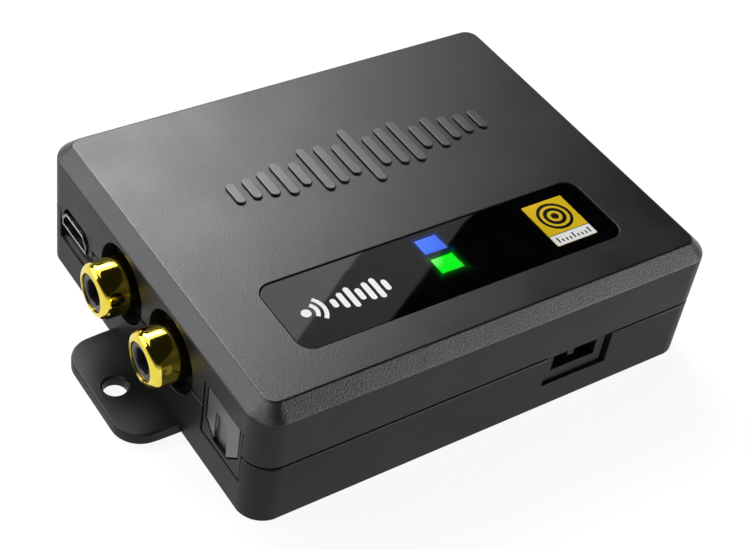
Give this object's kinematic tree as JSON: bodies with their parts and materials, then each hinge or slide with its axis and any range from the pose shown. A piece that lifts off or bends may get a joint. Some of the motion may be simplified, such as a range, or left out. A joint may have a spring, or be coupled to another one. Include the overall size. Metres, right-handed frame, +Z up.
{
  "type": "bluetooth audio receiver",
  "caption": "Small charcoal plastic receiver box with mounting ears, gold phono jacks, a shuttered optical output, a supply connector and a glossy status window.",
  "frame": {"origin": "centre of the underside, midway between the two mounting ears", "axes": "+X along the long front edge towards the plain end wall, +Y from the supply connector side to the back, +Z up through the glossy window"},
  "size_m": [0.0926, 0.061, 0.0212],
  "materials": {
    "case_top": "fine-grained charcoal moulding",
    "case_base": "fine-grained charcoal moulding",
    "window": "polished black",
    "badge": "printed film",
    "pipe_blue": "lit clear plastic",
    "pipe_green": "lit clear plastic",
    "lamp": "moulded lamp",
    "socket_black": "glass-filled black moulding",
    "shutter": "smooth charcoal moulding",
    "spring_steel": "drawn",
    "emitter": "tinted epoxy",
    "tin": "tinned",
    "gold": "gold plated",
    "insulator": "grey moulding",
    "steel": "nickel plated",
    "screw": "blackened",
    "board_green": "solder mask",
    "board_blue": "solder mask",
    "chip": "moulded epoxy",
    "ceramic": "fired ceramic",
    "antenna": "fired ceramic",
    "can": "drawn can",
    "ferrite": "pressed ferrite"
  },
  "bodies": {
    "case": {"upper_shell": "case_top", "lower_shell": "case_base", "display_window": "window", "badge": "badge", "light_pipe_blue": "pipe_blue", "light_pipe_green": "pipe_green", "led_blue": "lamp", "led_green": "lamp", "optical_housing": "socket_black", "shutter_pin": "steel", "optical_emitter": "emitter", "optical_leads": "tin", "jack_housing": "socket_black", "jack_sleeve_rear": "gold", "jack_sleeve_front": "gold", "jack_insulator_rear": "insulator", "jack_insulator_front": "insulator", "jack_contact_rear": "gold", "jack_contact_front": "gold", "jack_leads": "tin", "usb_shell": "steel", "usb_tongue": "socket_black", "usb_contacts": "gold", "power_housing": "socket_black", "power_pins": "tin", "main_board": "board_green", "radio_board": "board_blue", "board_headers": "socket_black", "header_pins": "gold", "radio_module": "board_blue", "radio_shield": "steel", "antenna": "antenna", "flash_chip": "chip", "crystal": "steel", "converter_chip": "chip", "line_driver_chip": "chip", "voltage_regulator": "chip", "power_inductor": "ferrite", "filter_capacitors": "can", "protection_diode": "chip", "ceramic_capacitors": "ceramic", "chip_resistors": "chip", "case_screws": "screw"},
    "shutter": {"optical_shutter": "shutter", "shutter_spring": "spring_steel"}
  },
  "joints": [
    {"name": "shutter_hinge", "type": "hinge", "parent": "case", "child": "shutter", "pos_m": [-0.03705, -0.0215, 0.01365], "axis": [0, -1, 0], "range_deg": [0, 80], "stiffness_Nm_per_rad": 0.00002, "springref_deg": -28.65}
  ]
}
